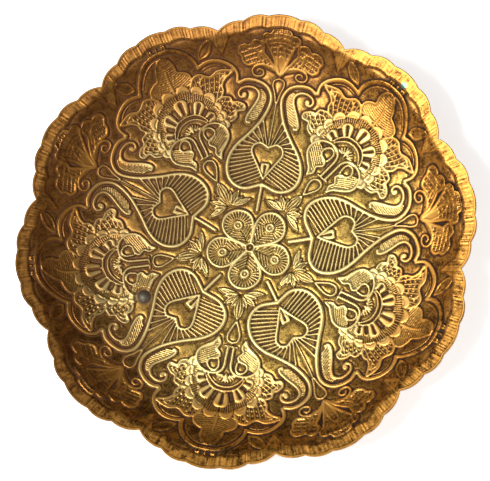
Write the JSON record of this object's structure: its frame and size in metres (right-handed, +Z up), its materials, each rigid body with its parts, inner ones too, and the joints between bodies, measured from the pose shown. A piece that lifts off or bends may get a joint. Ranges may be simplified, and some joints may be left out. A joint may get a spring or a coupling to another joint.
{
  "type": "brass tray",
  "caption": "Round cast brass dish tray with a scalloped lobed edge and low relief of hearts, flowers and arches, standing on small riveted bun feet.",
  "frame": {"origin": "middle of the tray, on the surface that its feet stand on", "axes": "+Z up out of the dish, +Y through two opposite lobe tips, along the axis of one heart of the relief"},
  "size_m": [0.2424, 0.249, 0.0335],
  "materials": {
    "cast_brass": "cast in relief, aged brown in the recesses and rubbed bright on the ridges",
    "foot_brass": "turned, dulled with age",
    "rivet_dark": "domed head, darkened, with a little verdigris",
    "rivet_brass": "filed level with the floor"
  },
  "bodies": {
    "root": {"tray": "cast_brass", "foot_1": "foot_brass", "foot_2": "foot_brass", "foot_3": "foot_brass", "rivet_1": "rivet_dark", "rivet_2": "rivet_brass", "rivet_3": "rivet_brass"}
  },
  "joints": []
}
